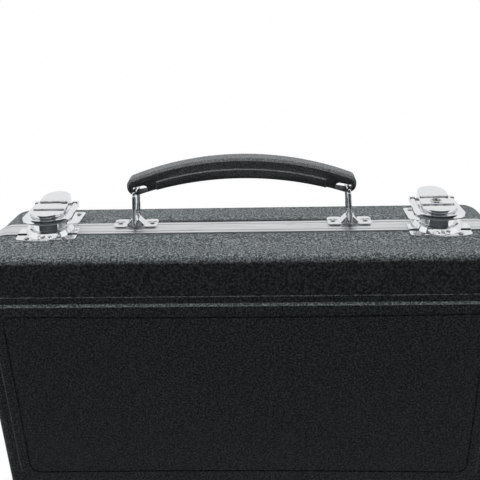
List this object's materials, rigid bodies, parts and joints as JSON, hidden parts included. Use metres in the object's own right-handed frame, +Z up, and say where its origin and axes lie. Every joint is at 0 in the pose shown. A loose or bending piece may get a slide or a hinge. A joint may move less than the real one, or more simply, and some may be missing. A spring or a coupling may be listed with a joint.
{
  "type": "clarinet case",
  "caption": "Hard case for a clarinet: two moulded shells with aluminium rims, over-centre latches, a handle on swinging rings, spine hinges and a fitted plush insert.",
  "frame": {"origin": "centre of the raised panel that the closed case rests on", "axes": "+X along the case, +Y from the latches and handle to the hinges, +Z up, from the base to the lid"},
  "size_m": [0.392, 0.3024, 0.101],
  "materials": {
    "shell_plastic": "grained thermoformed sheet",
    "rim_aluminium": "brushed",
    "latch_steel": "polished plating",
    "ring_steel": "polished plating",
    "hinge_steel": "satin plating",
    "rivet_steel": "satin",
    "handle_plastic": "moulded leather grain",
    "foot_rubber": "matte",
    "insert_plush": "short pile",
    "lining_plush": "short pile",
    "lock_steel": "polished plating"
  },
  "bodies": {
    "base": {"base_shell": "shell_plastic", "base_rim": "rim_aluminium", "base_insert": "insert_plush", "base_feet": "foot_rubber", "base_latch_rivets": "rivet_steel", "base_hinge_rivets": "rivet_steel", "handle_rivets": "rivet_steel", "lever_plate_left": "latch_steel", "lever_plate_right": "latch_steel", "lever_pins_left": "latch_steel", "lever_pins_right": "latch_steel", "ring_plate_left": "latch_steel", "ring_plate_right": "latch_steel", "base_hinge_leaf_left": "hinge_steel", "base_hinge_leaf_right": "hinge_steel", "hinge_pin_left": "hinge_steel", "hinge_pin_right": "hinge_steel"},
    "lid": {"lid_shell": "shell_plastic", "lid_rim": "rim_aluminium", "lid_lining": "lining_plush", "lid_feet": "foot_rubber", "lid_latch_rivets": "rivet_steel", "lid_hinge_rivets": "rivet_steel", "catch_plate_left": "latch_steel", "catch_plate_right": "latch_steel", "lid_hinge_leaf_left": "hinge_steel", "lid_hinge_leaf_right": "hinge_steel"},
    "lever_left": {"lever_left": "latch_steel", "lock_barrel": "lock_steel", "hasp_pin_left": "latch_steel"},
    "lever_right": {"lever_right": "latch_steel", "hasp_pin_right": "latch_steel"},
    "lock_plug": {"lock_plug": "lock_steel"},
    "hasp_left": {"hasp_left": "latch_steel"},
    "hasp_right": {"hasp_right": "latch_steel"},
    "ring_left": {"ring_left": "ring_steel"},
    "ring_right": {"ring_right": "ring_steel"},
    "handle": {"handle": "handle_plastic"}
  },
  "joints": [
    {"name": "lid_hinge", "type": "hinge", "parent": "base", "child": "lid", "pos_m": [0, 0.1235, 0.052], "axis": [-1, 0, 0], "range_deg": [0, 105]},
    {"name": "lever_left_throw", "type": "hinge", "parent": "base", "child": "lever_left", "pos_m": [-0.144, -0.1319, 0.0475], "axis": [-1, 0, 0], "range_deg": [0, 95]},
    {"name": "hasp_left_swing", "type": "hinge", "parent": "lever_left", "child": "hasp_left", "pos_m": [-0.144, -0.1314, 0.03], "axis": [1, 0, 0], "range_deg": [0, 95]},
    {"name": "lever_right_throw", "type": "hinge", "parent": "base", "child": "lever_right", "pos_m": [0.144, -0.1319, 0.0475], "axis": [-1, 0, 0], "range_deg": [0, 95]},
    {"name": "hasp_right_swing", "type": "hinge", "parent": "lever_right", "child": "hasp_right", "pos_m": [0.144, -0.1314, 0.03], "axis": [1, 0, 0], "range_deg": [0, 95]},
    {"name": "lock_turn", "type": "hinge", "parent": "lever_left", "child": "lock_plug", "pos_m": [-0.144, -0.136, 0.0449], "axis": [0, -1, 0], "range_deg": [0, 90]},
    {"name": "ring_left_swing", "type": "hinge", "parent": "base", "child": "ring_left", "pos_m": [-0.0805, -0.1222, 0.0445], "axis": [0, 0, 1], "range_deg": [-55, 55]},
    {"name": "ring_right_swing", "type": "hinge", "parent": "base", "child": "ring_right", "pos_m": [0.0805, -0.1222, 0.0445], "axis": [0, 0, 1], "range_deg": [-55, 55]},
    {"name": "handle_swing", "type": "hinge", "parent": "ring_left", "child": "handle", "pos_m": [-0.07841, -0.14812, 0.0445], "axis": [0, 0, 1], "range_deg": [-58, 58]}
  ],
  "couplings": [
    {"joint": "hasp_left_swing", "follows": "lever_left_throw", "ratio": 1},
    {"joint": "hasp_right_swing", "follows": "lever_right_throw", "ratio": 1},
    {"joint": "ring_right_swing", "follows": "ring_left_swing", "ratio": 1},
    {"joint": "handle_swing", "follows": "ring_left_swing", "ratio": -1.0233}
  ]
}
